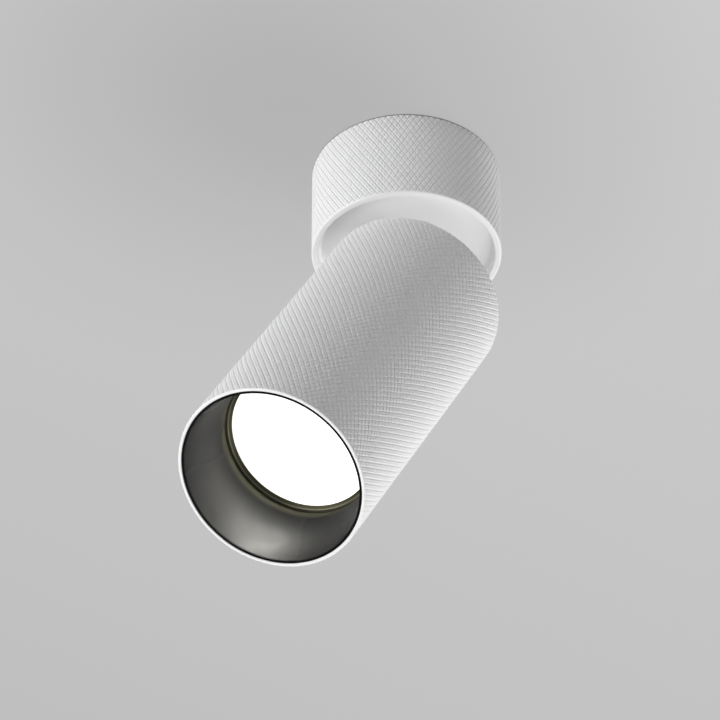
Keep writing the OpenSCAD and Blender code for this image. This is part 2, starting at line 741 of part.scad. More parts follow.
module lampholder() color(ceramic) in_head() {
    back_h = holder_h - holder_skirt_h;
    hole_r = pin_head_d / 2 + 0.15;
    difference() {
        union() {
            translate([0, 0, lamp_top]) rotate_extrude() polygon([
                [0, 0], [holder_d / 2 - 0.6, 0], [holder_d / 2, 0.6], [holder_d / 2, holder_skirt_h - 1.5],
                [holder_d / 2 - 1.5, holder_skirt_h], [0, holder_skirt_h]
            ]);
            translate([-holder_w / 2, -holder_l / 2, lamp_top + holder_skirt_h - join])
                cube([holder_w, holder_l, back_h + join]);
        }
        for (s = [-1, 1]) {
            translate([s * pin_pitch / 2, 0, lamp_top - cut]) cylinder(r = hole_r, h = pin_len + 0.5 + cut);
            translate([0, s * holder_screw_at, strip_low - 7]) cylinder(r = m3_d / 2 + push_fit, h = 8);
            translate([s * lead_at, 0, strip_low - lead_in]) cylinder(r = lead_r + run_fit, h = lead_in + cut);
        }
        translate([0, 0, strip_low - 2]) cylinder(r = 2, h = 2 + cut);
    }
}

module lampholder_screws() color(steel) in_head() {
    for (s = [-1, 1]) translate([0, s * holder_screw_at, strip_low + strip_t])
        screw(screw_head_r, screw_head_h, m3_d / 2, strip_t + 6);
}

module head_sleeve() color(ceramic) in_head() {
    sleeve_end = strip_low + lead_free;
    difference() {
        translate([0, 0, sleeve_end]) cylinder(r = sleeve_r, h = -sleeve_end);
        translate([0, 0, sleeve_end - cut]) cylinder(d = sleeve_bore, h = -sleeve_end + 2 * cut);
        sphere(r = ball_cup_r);
    }
}

// Route of a head lead on the side s: from the sleeve down into the lampholder's back
function head_route(s) = [
    [s * sleeve_lane, 0, strip_low + lead_free + lead_in], [s * sleeve_lane, 0, strip_low + lead_free],
    [s * 1.6, 0, strip_low + lead_free * 0.7], [s * 3.2, 0, strip_low + lead_free * 0.35],
    [s * lead_at, 0, strip_low + 1], [s * lead_at, 0, strip_low - lead_in + 0.2]
];

module head_live_lead() color(brown) in_head() lead_tube(spline(head_route(-1), 3), lead_r - 0.02, [0, 1, 0]);

module head_neutral_lead() color(blue) in_head() lead_tube(spline(head_route(1), 3), lead_r - 0.02, [0, 1, 0]);

module lamp_body() color(ceramic) in_head() {
    waist_z = lamp_len - lamp_foot_h;
    flare_r = lamp_r - 1;
    flare_h = waist_z - lamp_rim_h - waist_h;
    flare = [
        for (i = [0:6]) let (t = i / 6)
            [flare_r - (flare_r - waist_d / 2) * (1 - pow(1 - t, 1.8)), lamp_rim_h + flare_h * t]
    ];
    translate([0, 0, lens_z]) difference() {
        rotate_extrude() polygon(concat(
            [[0, lens_t], [lens_r + push_fit, lens_t], [lens_r + push_fit, 0]],
            [[lamp_r - 0.4, 0], [lamp_r, 0.4], [lamp_r, lamp_rim_h]], flare,
            [[waist_d / 2, waist_z], [lamp_foot_d / 2, waist_z + 1.5]],
            [[lamp_foot_d / 2, lamp_len], [0, lamp_len]]
        ));
        for (s = [-1, 1]) translate([s * pin_pitch / 2, 0, lamp_len - pin_in])
            cylinder(d = pin_neck_d + 2 * push_fit, h = pin_in + cut);
    }
}

module lamp_lens() color(lit) in_head() {
    translate([0, 0, lens_z]) cylinder(r = lens_r, h = lens_t);
}

module lamp_pins() color(steel) in_head() {
    head_h = 2.6;
    for (s = [-1, 1]) translate([s * pin_pitch / 2, 0, lamp_top]) {
        translate([0, 0, -pin_in]) cylinder(d = pin_neck_d, h = pin_len + pin_in - head_h / 2);
        translate([0, 0, pin_len - head_h]) cylinder(d = pin_head_d, h = head_h);
    }
}

module baffle() color(black) in_head() {
    front_r = lip_in_r - 0.1;
    collar_end = lens_depth + collar_len;
    groove = lens_depth + lamp_rim_h;
    cone_h = lens_depth - ring_t - step_h;
    groove_r = collar_in_r + clip_wire_d / 2 + 0.1;
    groove_end = groove + clip_wire_d + 0.2;
    back_gap = 0.1;
    translate([0, 0, mouth_z]) rotate_extrude() polygon([
        [front_r - baffle_edge, baffle_set], [cone_end_r, cone_h],
        [cone_end_r + step_in, cone_h], [cone_end_r + step_in, cone_h + step_h],
        [ring_r + bevel_w, cone_h + step_h], [ring_r, cone_h + step_h + bevel_h],
        [ring_r, lens_depth], [collar_in_r, lens_depth],
        [collar_in_r, groove], [groove_r, groove], [groove_r, groove_end], [collar_in_r, groove_end],
        [collar_in_r, collar_end], [collar_r, collar_end], [collar_r, seat_depth], [front_r, seat_depth],
        [front_r, lens_depth], [collar_r - back_gap, lens_depth],
        [collar_r - back_gap, lens_depth - ring_t - step_h - 0.9], [front_r, baffle_set]
    ]);
}

// Three leaf springs on the collar that press against the tube's wall
module baffle_springs() color(steel) in_head() {
    low = mouth_z + seat_depth + 1;
    bow_r = sqrt(pow(tube_in_r - run_fit, 2) - pow(leaf_w / 2, 2));
    foot_r = collar_r + push_fit;
    tip_r = collar_r + 0.1;
    foot_end = low + leaf_len * 0.3;
    bow_z = low + leaf_len * 0.7;
    tip_z = low + leaf_len;
    leaf = [
        [foot_r, low], [foot_r, foot_end], [bow_r - leaf_t, bow_z], [tip_r, tip_z],
        [tip_r + leaf_t, tip_z], [bow_r, bow_z], [foot_r + leaf_t, foot_end], [foot_r + leaf_t, low]
    ];
    for (a = [30, 150, 270]) rotate([0, 0, a]) rotate([90, 0, 0]) translate([0, 0, -leaf_w / 2])
        linear_extrude(leaf_w) polygon(leaf);
}

// Open wire ring that snaps in behind the lamp's rim
module lamp_clip() color(steel) in_head() {
    open_arc = 24;
    translate([0, 0, lens_z + lamp_rim_h + clip_wire_d / 2 + 0.1]) rotate([0, 0, 90 + open_arc / 2])
        rotate_extrude(angle = 360 - open_arc) translate([collar_in_r, 0]) circle(d = clip_wire_d, $fn = 16);
}

base_cup();
mounting_plate();
cable_grommet();
terminal_block();
terminal_sleeves();
terminal_screws();
block_screws();
earth_screw();
earth_tag();
live_lead();
neutral_lead();
earth_lead();
swivel_bush();
stop_pin();
swivel_washer();
turntable_disc();
neck();
stop_washer();
neck_nut();
neck_sleeve();
head_tube();
rear_cap();
hinge_pins();
friction_washers();
lampholder_bracket();
bracket_screws();
lampholder();
lampholder_screws();
head_sleeve();
head_live_lead();
head_neutral_lead();
lamp_body();
lamp_lens();
lamp_pins();
baffle();
baffle_springs();
lamp_clip();
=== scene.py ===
import json
import math

import bpy
import numpy as np
from bpy.props import FloatProperty, FloatVectorProperty, IntProperty, PointerProperty
from bpy.types import Operator, Panel, PropertyGroup
from mathutils import Matrix, Vector


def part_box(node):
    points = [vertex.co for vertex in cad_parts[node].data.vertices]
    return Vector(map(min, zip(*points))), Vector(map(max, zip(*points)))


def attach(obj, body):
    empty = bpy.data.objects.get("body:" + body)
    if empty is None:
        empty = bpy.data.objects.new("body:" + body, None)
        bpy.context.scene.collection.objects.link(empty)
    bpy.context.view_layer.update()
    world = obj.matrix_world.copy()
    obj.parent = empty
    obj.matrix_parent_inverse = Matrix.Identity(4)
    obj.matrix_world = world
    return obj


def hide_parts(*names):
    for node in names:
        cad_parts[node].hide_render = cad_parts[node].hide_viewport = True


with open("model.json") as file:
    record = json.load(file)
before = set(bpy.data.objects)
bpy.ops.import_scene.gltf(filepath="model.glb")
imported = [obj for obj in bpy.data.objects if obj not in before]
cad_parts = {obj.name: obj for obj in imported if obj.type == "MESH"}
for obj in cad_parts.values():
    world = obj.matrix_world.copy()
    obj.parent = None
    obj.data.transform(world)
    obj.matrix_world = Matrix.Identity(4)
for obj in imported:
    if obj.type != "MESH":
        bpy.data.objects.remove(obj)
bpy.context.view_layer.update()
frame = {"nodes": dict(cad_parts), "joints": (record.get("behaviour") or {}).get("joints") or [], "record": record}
PIVOT = Vector(next(joint["pos_m"] for joint in frame["joints"] if joint["name"] == "tilt"))

bl_info = {
    "name": "Adjustable ceiling spotlight",
    "version": (1, 0, 0),
    "blender": (4, 5, 0),
    "location": "3D View > Sidebar > Spotlight",
    "description": "Builds the knurled base and head, the leads, the finishes and the stage of a ceiling spotlight",
    "category": "Object",
}

# The photograph's view: the camera's place, and the directions of its right and upper edges
CAMERA_PLACE = (0.6604, -0.7045, -0.8832)
CAMERA_RIGHT, CAMERA_UP = Vector((0.71808, 0.69596, -0.00163)), Vector((0.44732, -0.45973, 0.76717))

# The square lights: their side, what they face, their distance from it and the direction of each one
LIGHT_SIDE, LIGHT_TARGET, LIGHT_DISTANCE = 1.2, Vector((0, -0.01, -0.08)), 1.8
LIGHTS = {
    "left": (-0.382, -0.674, -0.632),
    "left_high": (-0.168, -0.965, -0.204),
    "below": (0.163, 0.233, -0.959),
    "right_low": (-0.148, 0.756, -0.637),
    "right": (0.284, 0.879, -0.384),
    "side": (-0.807, -0.504, -0.333),
}

# The ceiling: the radii of its mesh, how far out its painted light slope stops and its share of real light ends, the
# middle and radius of its patch of painted shade, and where its own tone starts, counted from the hole behind the base
HOLE_INSET, CEILING_NEAR, CEILING_FAR = 0.001, 0.3, (0.35, 8)
LIGHT_SLOPE_ENDS, SHADOW_ENDS = (0.4, 1.2), (0.5, 1.6)
PAINTED_SHADE_PLACE, PAINTED_SHADE_RADIUS = (0.01, -0.053, 0), 0.162
TONE_STARTS = (0.0007, 0.0012)

# The baffle, along the head's axis from the tilt axis: where each change of its tone starts and where it is complete.
# The changes are painted shade deeper in the cone, painted warm light of the lens at its inner end and brighter in its
# groove, the ring's own dark colour with an olive cast of painted lens light, and a painted shadow line at the mouth
CONE_PAINTED_SHADE = (0.115, 0.1)
CONE_PAINTED_LENS_LIGHT = (0.096, 0.0938)
GROOVE_PAINTED_LIGHT = (0.0932, 0.0929)
LAMP_RING_AND_LENS_LIGHT = (0.09187, 0.09165)
MOUTH_PAINTED_SHADOW = (0.1159, 0.1163)

# The lit lens: the source's place beside its middle, the turn of its long axis and its radii, and the dimmer rim
SOURCE_ASIDE, SOURCE_TURN, SOURCE_RADII = Vector((-0.0048, -0.0048, 0)), math.radians(130), (0.012, 0.0058, 0.0058)
LENS_RIM = (0.0224, 0.0231)

# The leads: points round one, and steps between two knots of its route
LEAD_COLUMNS, LEAD_STEPS = 16, 8

# The woven sleeves: strands of each hand, depth of the braid and height of a row of points, the plain hem, the last
# ring before the middle of the closed end, how far below the ceiling the neck's sleeve starts and how far below the
# tilt axis the head's ends
BRAID_STRANDS, BRAID_DEPTH, BRAID_STEP = 16, 0.00012, 0.00014
SLEEVE_HEM, SLEEVE_EYE, NECK_SLEEVE_TOP, HEAD_SLEEVE_END = 0.0001, 0.0002, 0.0153, 0.0149


# Sizes and colours that can be changed

def number(name, description, default, **options):
    return FloatProperty(name=name, description=description, default=default, **options)


def length(name, description, default):
    return number(name, description, default, min=0, unit="LENGTH", subtype="DISTANCE")


def angle(name, description, degrees):
    return number(name, description, math.radians(degrees), unit="ROTATION", subtype="ANGLE")


def light_power(name, description, default):
    return number(name, description, default, min=0, unit="POWER")


def count(name, description, default, least):
    return IntProperty(name=name, description=description, default=default, min=least)


def colour(name, description, default):
    return FloatVectorProperty(name=name, description=description, default=default, size=3, min=0, max=1,
                               subtype="COLOR")


class SpotKnurl(PropertyGroup):
    depth: length("Depth", "Depth of the knurl's grooves below its crests", 0.0002)
    flank: number("Flank", "Share of the pitch that each side of a groove takes", 0.2, min=0.1, max=0.5)
    base_starts: count("Base starts", "Grooves of each hand round the base", 96, 12)
    base_rows: count("Base rows", "Half diamonds along the base", 19, 2)
    head_starts: count("Head starts", "Grooves of each hand round the head", 100, 12)
    head_rows: count("Head rows", "Half diamonds along the head", 78, 2)
    # Painted shade in the knurl's grooves
    base_groove_shade: number("Base grooves", "Greyness of the base's grooves", 0.38, min=0)
    head_groove_shade: number("Head grooves", "Greyness of the head's grooves", 0.14, min=0)
    base_relief: number("Base relief", "Strength of the soft ripple on the base's diamonds", 1.4, min=0)
    head_relief: number("Head relief", "Strength of the soft ripple on the head's diamonds", 0.8, min=0)


class SpotBase(PropertyGroup):
    radius: length("Radius", "Outer radius over the crests of the knurl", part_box("base_cup")[1].x)
    height: length("Height", "Height of the base", -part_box("base_cup")[0].z)
    wall: length("Wall", "Thickness of the wall", 0.0021)
    rim_round: length("Rim round", "Radius on the rim's outer edge", 0.0006)
    inner_round: length("Inner round", "Radius on the rim's inner edge", 0.00025)
    rim_hold: length("Rim hold", "Width of the flat strips beside the rim's rounded edges", 0.00008)
    floor: length("Floor", "Depth of the recess's floor below the ceiling", 0.0295)
    fillet: length("Fillet", "Radius of the fillet round the recess's floor", 0.0012)
    pocket: length("Pocket", "Radius of the pocket for the turntable disc", 0.0133)
    chamfer: length("Chamfer", "Width of the chamfer round the pocket", 0.0001)
    shadow_in: length("Groove depth", "Depth of the shadow groove at the ceiling", 0.0007)
    shadow_h: length("Groove height", "Height of the shadow groove at the ceiling", 0.0005)
    web_low: length("Web's lower face", "Depth of the web's lower face below the ceiling", 0.0264)
    web_top: length("Web's upper face", "Depth of the web's upper face below the ceiling", 0.0239)
    web_bore: length("Web's bore", "Radius of the hole for the swivel bush", 0.00787)
    lug_reach: length("Lug reach", "Inward reach of each bayonet lug", 0.0025)
    lug_low: length("Lug's lower face", "Depth of the lugs' lower face below the ceiling", 0.0035)
    lug_thick: length("Lug thickness", "Thickness of each bayonet lug", 0.0015)
    lug_arc: angle("Lug arc", "Arc of each bayonet lug", 40)


class SpotHead(PropertyGroup):
    radius: length("Radius", "Outer radius over the crests of the knurl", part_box("head_tube")[1].x)
    back: length("Back", "Height of the back face above the tilt axis", 0.0033)
    span: length("Length", "Length of the head", 0.12)
    wall: length("Wall", "Thickness of the tube's wall", 0.0015)
    lip_wall: length("Lip wall", "Thickness of the wall in front of the baffle's seat", 0.001)
    lip_round: length("Lip round", "Radius on the lip's outer edge", 0.00035)
    inner_round: length("Inner round", "Radius on the lip's inner edge", 0.00015)
    seat: length("Seat depth", "Depth of the shoulder that the baffle seats on", 0.027)
    tilt: angle("Tilt", "Tilt of the head from straight down", 30)


class SpotLeads(PropertyGroup):
    radius: length("Lead radius", "Outer radius of each lead", 0.00083)
    sleeve: length("Sleeve radius", "Outer radius of the woven sleeve", 0.00225)
    sleeve_bore: length("Sleeve bore", "Inner radius of the woven sleeve", 0.0018)
    cup: length("Sleeve cup", "Radius of the hollow in the head's sleeve round the end of the neck's", 0.00259)


class SpotColours(PropertyGroup):
    paint: colour("Paint", "Textured white paint of the base, the neck and the head", (0.86, 0.86, 0.86))
    steel: colour("Steel", "Zinc plated steel", (0.62, 0.63, 0.65))
    brass: colour("Brass", "Machined brass", (0.72, 0.52, 0.24))
    rubber: colour("Rubber", "Black rubber of the cable grommet", (0.03, 0.03, 0.03))
    nylon: colour("Nylon", "Natural white nylon", (0.82, 0.8, 0.73))
    lamp: colour("Lamp body", "White plastic of the lamp", (0.84, 0.84, 0.82))
    glow: colour("Glow", "Light of the lamp's lens", (1.0, 0.985, 0.93))
    rim_glow: colour("Rim glow", "Light of the outermost edge of the lamp's lens", (0.7, 0.69, 0.58))
    source: number("Source", "How much brighter the lamp's source is than its lens", 120.0, min=1)
    ceramic: colour("Ceramic", "Unglazed ceramic of the lampholder", (0.84, 0.82, 0.75))
    baffle: colour("Baffle", "Dark satin of the baffle", (0.029, 0.029, 0.0287))
    # Painted warm light of the lens on the baffle's inner end, not wear, about twice as light in its groove; then the
    # ring's dark colour with an olive cast of painted lens light
    edge: colour("Baffle's edge", "Worn olive grey beside the baffle's groove", (0.064, 0.062, 0.045))
    ring: colour("Ring", "Olive cast of the baffle's ring", (0.043, 0.041, 0.025))
    sleeving: colour("Sleeving", "Woven glass fibre", (0.8, 0.78, 0.7))
    brown: colour("Brown lead", "Insulation of the live lead", (0.17, 0.075, 0.035))
    blue: colour("Blue lead", "Insulation of the neutral lead", (0.04, 0.15, 0.45))
    green: colour("Green lead", "Insulation of the earth lead", (0.13, 0.42, 0.08))
    stripe: colour("Stripe", "Yellow stripe of the earth lead", (0.8, 0.68, 0.05))


class SpotStage(PropertyGroup):
    focal: number("Lens", "Focal length of the camera", 203.9, unit="CAMERA")
    ceiling: colour("Ceiling", "Grey of the ceiling", (0.5, 0.5, 0.5))
    backdrop: colour("Backdrop", "Grey that the camera sees of the ceiling and beyond it", (0.585, 0.585, 0.585))
    # Painted light falloff of the ceiling along X and Y, and painted shade beside the base
    across: number("Tone along X", "How much lighter the ceiling gets per metre along X", 0.2)
    along: number("Tone along Y", "How much lighter the ceiling gets per metre along Y", -0.044)
    shade: number("Shade", "How much darker the ceiling is beside the base", 0.123)
    shadow: number("Shadow", "Share of the lamps' light and shadow in the ceiling's look", 0.1, min=0, max=1,
                   subtype="FACTOR")
    left: light_power("Left light", "Power of the light at the camera's left", 9.1)
    left_high: light_power("High left light", "Power of the light at the left close under the ceiling", 20.0)
    below: light_power("Lower light", "Power of the light under the spotlight", 10.2)
    right_low: light_power("Low right light", "Power of the light at the right and below", 9.6)
    side: light_power("Side light", "Power of the light far round at the left", 7.2)
    right: light_power("Right light", "Power of the light at the right", 16.8)
    fill: number("Fill", "Strength of the even light from all round", 0.115, min=0)


# Shapes

def solid(name, points, triangles, attributes=None, crease=math.radians(35)):
    """A mesh object at the origin from points (n, 3) and triangles (m, 3), turned so that its faces point outwards.
    The signed volume, a sixth of the sum of a . (b x c) over the triangles, is positive when they do."""
    a, b, c = (points[triangles[:, k]] for k in range(3))
    if np.einsum("ij,ij->", a, np.cross(b, c)) < 0:
        triangles = triangles[:, ::-1]
    mesh = bpy.data.meshes.new(name)
    mesh.from_pydata(points, [], triangles)
    for key, values in (attributes or {}).items():
        mesh.attributes.new(key, "FLOAT", "POINT").data.foreach_set("value", values.astype(np.float32))
    mesh.shade_smooth()
    mesh.set_sharp_from_angle(angle=crease)
    piece = bpy.data.objects.new(name, mesh)
    bpy.context.scene.collection.objects.link(piece)
    return piece


def strips(rows):
    """Triangles between neighbouring closed rows of vertex numbers: rows is (rows, columns)."""
    a, b = rows[:-1], rows[1:]
    a2, b2 = np.roll(a, -1, 1), np.roll(b, -1, 1)
    return np.concatenate([np.stack([a, a2, b2], -1).reshape(-1, 3), np.stack([a, b2, b], -1).reshape(-1, 3)])


def fans(first, last, low, high):
    """Triangles that close the first and last closed rows with the points numbered low and high."""
    return np.concatenate([
        np.stack([np.roll(first, -1), first, np.full_like(first, low)], -1),
        np.stack([last, np.roll(last, -1), np.full_like(last, high)], -1),
    ])


def quarter(centre_r, centre_z, radius, start, end, steps):
    """Points (r, z) = centre + radius * (cos a, sin a), with a from start to end in degrees."""
    a = np.radians(np.linspace(start, end, steps))
    return np.stack([centre_r + radius * np.cos(a), centre_z + radius * np.sin(a)], -1)


def knurled_shell(starts, rows, radius, low, high, depth, flank, profile):
    """A turned shell with a diamond knurl. Grooves of both hands lie where u or v is whole, with
    u = starts * angle / 2 pi + (z - low) / p, v = starts * angle / 2 pi - (z - low) / p and p = 2 (high - low) / rows.
    Each cell of (u, v) is cut at 0, flank and 1 - flank, and r = radius - depth on its cuts at 0, radius elsewhere.
    profile lists (r, z, share) from the knurl's lower edge round the inside to its upper edge, and share is how much
    of the edge's waviness is left there. The third result holds two attributes: groove is 1 on the cuts at 0, and
    knurled is 1 on the knurl, and each fades round the edge with share."""
    columns, tall = 3 * starts, 3 * rows
    cuts = np.array([0, flank, 1 - flank])
    b = np.arange(columns)[None, :]
    a = b + np.arange(tall + 1)[:, None]
    u, v = a // 3 + cuts[a % 3], b // 3 + cuts[b % 3]
    groove = ((a % 3 == 0) | (b % 3 == 0)).astype(float)
    angle, z = np.pi * (u + v) / starts, low + (u - v) * (high - low) / rows
    r = radius - depth * groove
    half = rows // 2 * 3
    turned = np.roll(np.arange(tall * columns, (tall + 1) * columns), half)
    slip = np.pi * (rows % 2) / starts

    steps = np.arange(1, len(profile) + 1)[:, None] / (len(profile) + 1)
    ring_angle = angle[:1] + steps * slip
    ring_r = profile[:, :1] - depth * groove[:1] * profile[:, 2:]
    ring_z = np.repeat(profile[:, 1:2], columns, 1)

    every_r = np.concatenate([r.ravel(), ring_r.ravel()])
    every_angle = np.concatenate([angle.ravel(), ring_angle.ravel()])
    every_z = np.concatenate([z.ravel(), ring_z.ravel()])
    points = np.stack([every_r * np.cos(every_angle), every_r * np.sin(every_angle), every_z], -1)

    s = np.arange(tall + 1)[:, None] + 0 * b
    here = s * columns + b
    right = s * columns + (b + 1) % columns
    above = np.minimum(s + 1, tall) * columns + b
    below = np.maximum(s - 1, 0) * columns + (b + 1) % columns
    upright = np.abs(a % 3 - b % 3) == 2
    pair = np.where(
        upright[..., None, None],
        np.stack([np.stack([here, below, above], -1), np.stack([above, below, right], -1)], -2),
        np.stack([np.stack([here, right, above], -1), np.stack([here, below, right], -1)], -2),
    )
    knurl = np.concatenate([pair[:-1, :, 0].reshape(-1, 3), pair[1:, :, 1].reshape(-1, 3)])
    rings = len(points) - len(profile) * columns + np.arange(len(profile) * columns).reshape(-1, columns)
    inside = strips(np.concatenate([here[:1], rings, turned[None, :]]))[:, ::-1]
    attributes = {
        "groove": np.concatenate([groove.ravel(), (groove[:1] * profile[:, 2:]).ravel()]),
        "knurled": np.concatenate([np.ones(r.size), np.repeat(profile[:, 2], columns)]),
    }
    return points, np.concatenate([knurl, inside]), attributes


def arc_block(section, start, end, steps):
    """A closed block: the polygon section (r, z) turned about z from start to end, with flat ends."""
    a = np.linspace(start, end, steps)[:, None]
    r, z = section[:, 0][None, :], section[:, 1][None, :]
    points = np.stack([r * np.cos(a), r * np.sin(a), z + 0 * a], -1).reshape(-1, 3)
    n = len(section)
    rows = np.arange(steps * n).reshape(steps, n)
    ends = np.array([[0, k, k + 1] for k in range(1, n - 1)])
    return points, np.concatenate([strips(rows)[:, ::-1], ends, (rows[-1][ends])[:, ::-1]])


def flat_ring(radii, columns=96):
    """A flat sheet: r (cos a, sin a, 0) for every radius r."""
    a = np.linspace(0, 2 * np.pi, columns, endpoint=False)
    r = radii[:, None]
    points = np.stack([r * np.cos(a), r * np.sin(a), 0 * r * a], -1).reshape(-1, 3)
    return points, strips(np.arange(len(points)).reshape(len(radii), -1))


def joined(*parts):
    """Several sets of points and triangles as one."""
    starts = np.cumsum([0] + [len(p) for p, _ in parts[:-1]])
    return np.concatenate([p for p, _ in parts]), np.concatenate([t + s for (_, t), s in zip(parts, starts)])


def in_head(points, tilt):
    """Points of the head's own frame, whose origin is on the tilt axis, in the row frame."""
    turn = np.array(Matrix.Rotation(-tilt, 3, "X"))
    return points @ turn.T + np.array(PIVOT)


def smooth_path(knots, steps):
    """Points on the curve 0.5 (2 b + (c - a) t + (2 a - 5 b + 4 c - d) t^2 + (3 b - a - 3 c + d) t^3), which runs from
    b to c for t from 0 to 1, for every four neighbours a, b, c and d of the knots. The end knots count twice."""
    k = np.array(knots, float)
    k = np.concatenate([k[:1], k, k[-1:]])
    t = np.linspace(0, 1, steps, endpoint=False)[None, :, None]
    a, b, c, d = (k[i:len(k) - 3 + i, None, :] for i in range(4))
    curve = 0.5 * (2 * b + (c - a) * t + (2 * a - 5 * b + 4 * c - d) * t ** 2 + (3 * b - a - 3 * c + d) * t ** 3)
    return np.concatenate([curve.reshape(-1, 3), k[-1:]])


def round_tube(path, radius, side, columns):
    """A closed tube: path(s) + radius (cos t u(s) + sin t v(s)), where u and v are square to the path and side."""
    along = np.gradient(path, axis=0)
    along /= np.linalg.norm(along, axis=1)[:, None]
    u = np.cross(along, side)
    u /= np.linalg.norm(u, axis=1)[:, None]
    v = np.cross(along, u)
    t = np.linspace(0, 2 * np.pi, columns, endpoint=False)[None, :, None]
    points = (path[:, None] + radius * (np.cos(t) * u[:, None] + np.sin(t) * v[:, None])).reshape(-1, 3)
    rows = np.arange(len(points)).reshape(-1, columns)
    points = np.concatenate([points, path[:1], path[-1:]])
    return points, np.concatenate([strips(rows), fans(rows[0], rows[-1], len(points) - 2, len(points) - 1)])


def braid(angle, rise):
    """Height of a plain braid, from 0 to 1. The yarns of each hand lie where u or v is whole, with
    u = strands * angle / 2 pi + rise and v = strands * angle / 2 pi - rise. A yarn's height is |cos pi u| across it,
    plus a wave 0.6 cos pi (v + its number) along it, turned over for the other hand. The higher yarn shows."""
    around = BRAID_STRANDS * angle / (2 * np.pi)
    u, v = around + rise, around - rise
    one = np.abs(np.cos(np.pi * u)) + 0.6 * np.cos(np.pi * (v + np.round(u)))
    other = np.abs(np.cos(np.pi * v)) - 0.6 * np.cos(np.pi * (u + np.round(v)))
    return np.clip(np.maximum(one, other) / 1.6, 0, 1)


def sleeve_skin(outline, columns=96):
    """Points of a turned sleeve. outline lists (r, z, share), and r is lowered by depth * share * (1 - braid)."""
    angle = np.linspace(0, 2 * np.pi, columns, endpoint=False)[None, :]
    r, z, share = (outline[:, k:k + 1] for k in range(3))
    rise = z * BRAID_STRANDS / (2 * np.pi * outline[:, 0].max())
    r = r - BRAID_DEPTH * share * (1 - braid(angle, rise))
    return np.stack([r * np.cos(angle), r * np.sin(angle), z + 0 * angle], -1).reshape(-1, 3)


# Finishes

class Value:
    """A number on a surface. An expression such as 1 - mask * 0.5 adds the Math nodes that work it out."""

    def __init__(self, nodes, socket):
        self.nodes, self.socket = nodes, socket

    def __add__(self, other):
        return self.nodes.maths("ADD", self, other)

    def __sub__(self, other):
        return self.nodes.maths("SUBTRACT", self, other)

    def __rsub__(self, other):
        return self.nodes.maths("SUBTRACT", other, self)

    def __mul__(self, other):
        return self.nodes.maths("MULTIPLY", self, other)

    __radd__, __rmul__ = __add__, __mul__


class Nodes:
    """The nodes of a material or of the world."""

    def __init__(self, tree):
        self.tree = tree

    def node(self, kind, settings=None, inputs=None):
        """A node of this kind. Its settings come first, then its sockets' values or links."""
        made = self.tree.nodes.new(kind)
        for key, value in (settings or {}).items():
            setattr(made, key, value)
        for key, value in (inputs or {}).items():
            self.feed(made.inputs[key], value)
        return made

    def feed(self, socket, value):
        """Links a socket to a Value or another socket, or gives it a constant."""
        value = value.socket if isinstance(value, Value) else value
        if isinstance(value, bpy.types.NodeSocket):
            self.tree.links.new(value, socket)
        else:
            socket.default_value = value

    def maths(self, operation, first, second):
        made = self.node("ShaderNodeMath", {"operation": operation}, {0: first, 1: second})
        return Value(self, made.outputs[0])

    def measure(self, operation, first, second=(0, 0, 0)):
        """A number from two vectors, such as their distance, or from the first alone, such as its length."""
        made = self.node("ShaderNodeVectorMath", {"operation": operation}, {0: first, 1: second})
        return Value(self, made.outputs["Value"])

    def parts(self, vector):
        """The x, y and z of a vector."""
        made = self.node("ShaderNodeSeparateXYZ", None, {0: vector})
        return [Value(self, socket) for socket in made.outputs]

    def attribute(self, name):
        made = self.node("ShaderNodeAttribute", {"attribute_name": name})
        return Value(self, made.outputs["Fac"])

    def band(self, value, low, high, to_low=0.0, to_high=1.0):
        """Goes smoothly from to_low, where value is low, to to_high, where it is high."""
        made = self.node("ShaderNodeMapRange", {"interpolation_type": "SMOOTHSTEP"},
                         {"Value": value, "From Min": low, "From Max": high, "To Min": to_low, "To Max": to_high})
        return Value(self, made.outputs[0])

    def mixed(self, factor, first, second):
        """The colour between first and second, by factor. Each of the two is a colour or a socket."""
        first, second = (c if isinstance(c, bpy.types.NodeSocket) else (*c, 1) for c in (first, second))
        return self.node("ShaderNodeMix", {"data_type": "RGBA"}, {0: factor, 6: first, 7: second}).outputs[2]

    def mixed_shaders(self, factor, first, second):
        return self.node("ShaderNodeMixShader", None, {0: factor, 1: first.outputs[0], 2: second.outputs[0]})

    def in_sight(self):
        """1 for the camera's own rays and for what it sees in reflections or through glass, 0 for the rest."""
        rays = self.node("ShaderNodeLightPath").outputs
        seen = Value(self, rays["Is Camera Ray"])
        for other in ("Is Glossy Ray", "Is Transmission Ray"):
            seen = self.maths("MAXIMUM", seen, rays[other])
        return seen


class Finish(Nodes):
    """A material's nodes round one Principled shader, whose constants stand on its own sockets."""

    def __init__(self, name, constants):
        self.material = bpy.data.materials.new(name)
        self.material.use_nodes = True
        super().__init__(self.material.node_tree)
        self.shader = self.tree.nodes["Principled BSDF"]
        for socket, value in constants.items():
            self.feed(self.shader.inputs[socket], value)
        self.place = self.node("ShaderNodeTexCoord").outputs["Object"]

    def noise(self, scale, detail=2.0, stretch=None):
        place = self.place
        if stretch:
            place = self.node("ShaderNodeMapping", None, {"Vector": place, "Scale": stretch}).outputs[0]
        made = self.node("ShaderNodeTexNoise", None, {"Vector": place, "Scale": scale, "Detail": detail})
        return Value(self, made.outputs["Fac"])

    def set(self, socket, value):
        self.feed(self.shader.inputs[socket], value)

    def rough(self, cause, low, high):
        """Roughness from low to high, over the range that most of a noise lies in."""
        self.set("Roughness", self.band(cause, 0.3, 0.7, low, high))

    def bump(self, height, distance, strength=1.0):
        made = self.node("ShaderNodeBump", None, {"Height": height, "Distance": distance, "Strength": strength})
        self.set("Normal", made.outputs[0])


def shade(colour_of, factor):
    """A colour made lighter or darker."""
    return tuple(min(1.0, c * factor) for c in colour_of)


